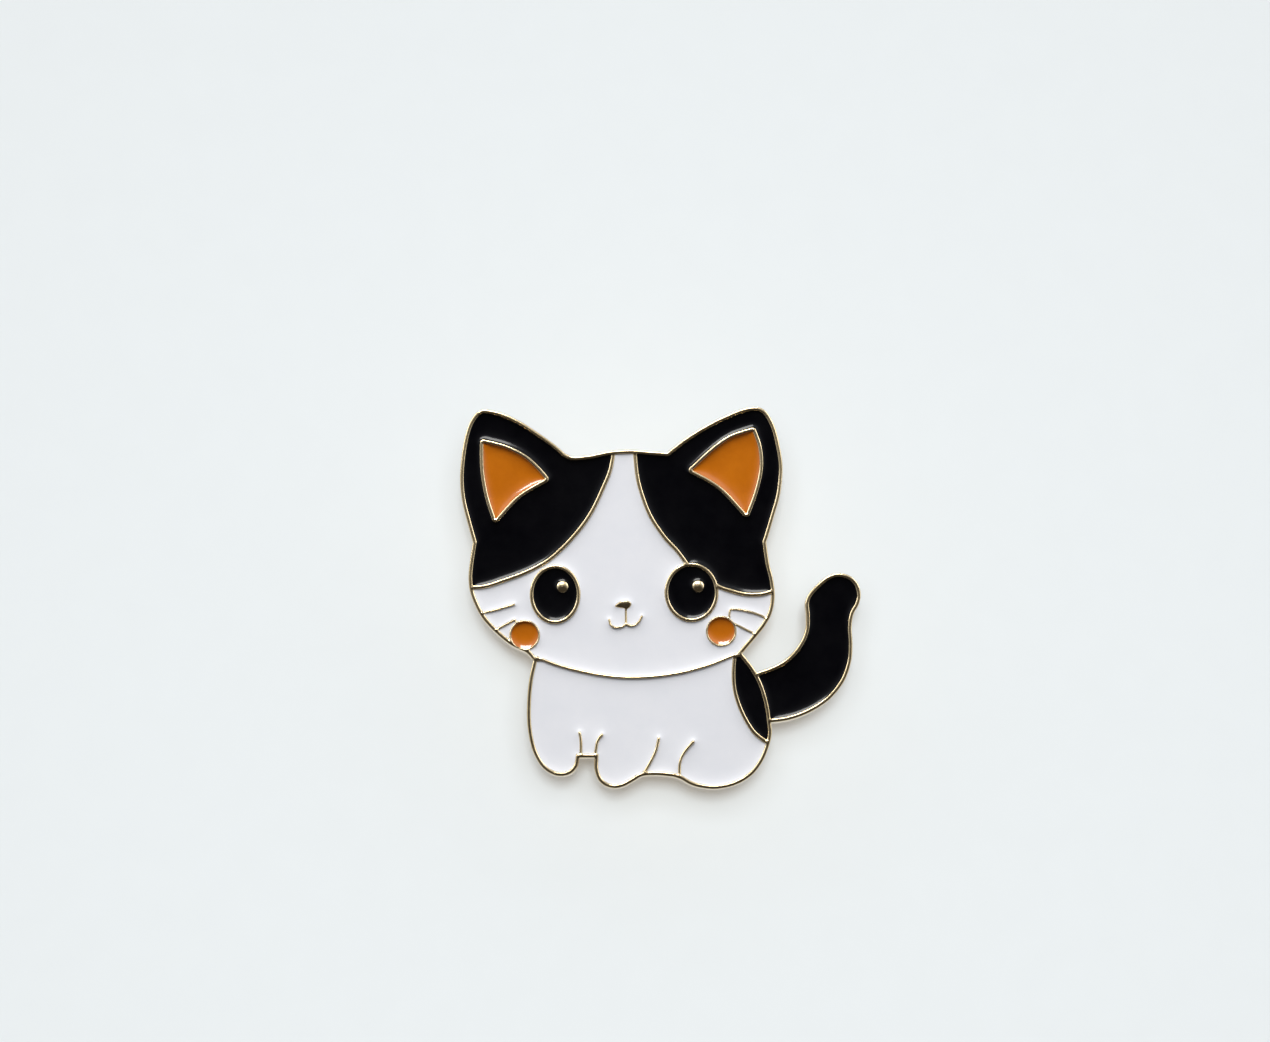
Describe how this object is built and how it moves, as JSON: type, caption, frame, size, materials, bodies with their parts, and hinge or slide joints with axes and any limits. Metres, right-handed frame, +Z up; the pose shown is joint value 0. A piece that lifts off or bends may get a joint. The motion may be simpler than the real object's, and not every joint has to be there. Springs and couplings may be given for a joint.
{
  "type": "enamel pin",
  "caption": "Gold-plated lapel pin of a sitting cat in white, black and orange soft enamel, worn on two nail posts with sliding, turning butterfly clutches.",
  "frame": {"origin": "on the plate's flat back, midway between the two posts", "axes": "+X to the viewer's right across the face, +Y from the face out of the back along the posts, +Z up the cat"},
  "size_m": [0.0299, 0.0099, 0.0287],
  "materials": {
    "gold_plating": "polished gold plating on a die-struck plate",
    "white_enamel": "glossy baked soft enamel",
    "black_enamel": "glossy baked soft enamel",
    "orange_enamel": "glossy baked soft enamel",
    "post_plating": "plated nail post",
    "clutch_brass": "polished stamped brass",
    "spring_brass": "bright folded spring brass"
  },
  "bodies": {
    "pin": {"base_plate": "gold_plating", "face_enamel": "white_enamel", "left_whisker_enamel": "white_enamel", "right_whisker_enamel": "white_enamel", "left_patch_enamel": "black_enamel", "right_patch_enamel": "black_enamel", "left_ear_enamel": "orange_enamel", "right_ear_enamel": "orange_enamel", "left_eye_enamel": "black_enamel", "right_eye_enamel": "black_enamel", "left_cheek_enamel": "orange_enamel", "right_cheek_enamel": "orange_enamel", "body_enamel": "white_enamel", "haunch_enamel": "black_enamel", "tail_enamel": "black_enamel", "left_post": "post_plating", "right_post": "post_plating"},
    "left_clutch_slider": {"left_clutch_eyelet": "clutch_brass"},
    "left_clutch": {"left_clutch_cup": "clutch_brass", "left_clutch_bridge": "spring_brass"},
    "left_clutch_upper": {"left_clutch_upper_wing": "spring_brass"},
    "left_clutch_lower": {"left_clutch_lower_wing": "spring_brass"},
    "right_clutch_slider": {"right_clutch_eyelet": "clutch_brass"},
    "right_clutch": {"right_clutch_cup": "clutch_brass", "right_clutch_bridge": "spring_brass"},
    "right_clutch_upper": {"right_clutch_upper_wing": "spring_brass"},
    "right_clutch_lower": {"right_clutch_lower_wing": "spring_brass"}
  },
  "joints": [
    {"name": "left_clutch_slide", "type": "slide", "parent": "pin", "child": "left_clutch_slider", "axis": [0, 1, 0], "range_m": [-0.002, 0.009]},
    {"name": "left_clutch_turn", "type": "hinge", "parent": "left_clutch_slider", "child": "left_clutch", "pos_m": [-0.0055, 0.0032, 0], "axis": [0, 1, 0], "continuous": true},
    {"name": "left_clutch_upper_squeeze", "type": "hinge", "parent": "left_clutch", "child": "left_clutch_upper", "pos_m": [-0.0055, 0.0058, 0.00187], "axis": [-1, 0, 0], "range_deg": [0, 12], "stiffness_Nm_per_rad": 0.1},
    {"name": "left_clutch_lower_squeeze", "type": "hinge", "parent": "left_clutch", "child": "left_clutch_lower", "pos_m": [-0.0055, 0.0058, -0.00187], "axis": [1, 0, 0], "range_deg": [0, 12], "stiffness_Nm_per_rad": 0.1},
    {"name": "right_clutch_slide", "type": "slide", "parent": "pin", "child": "right_clutch_slider", "axis": [0, 1, 0], "range_m": [-0.002, 0.009]},
    {"name": "right_clutch_turn", "type": "hinge", "parent": "right_clutch_slider", "child": "right_clutch", "pos_m": [0.0055, 0.0032, 0], "axis": [0, 1, 0], "continuous": true},
    {"name": "right_clutch_upper_squeeze", "type": "hinge", "parent": "right_clutch", "child": "right_clutch_upper", "pos_m": [0.0055, 0.0058, 0.00187], "axis": [-1, 0, 0], "range_deg": [0, 12], "stiffness_Nm_per_rad": 0.1},
    {"name": "right_clutch_lower_squeeze", "type": "hinge", "parent": "right_clutch", "child": "right_clutch_lower", "pos_m": [0.0055, 0.0058, -0.00187], "axis": [1, 0, 0], "range_deg": [0, 12], "stiffness_Nm_per_rad": 0.1}
  ]
}
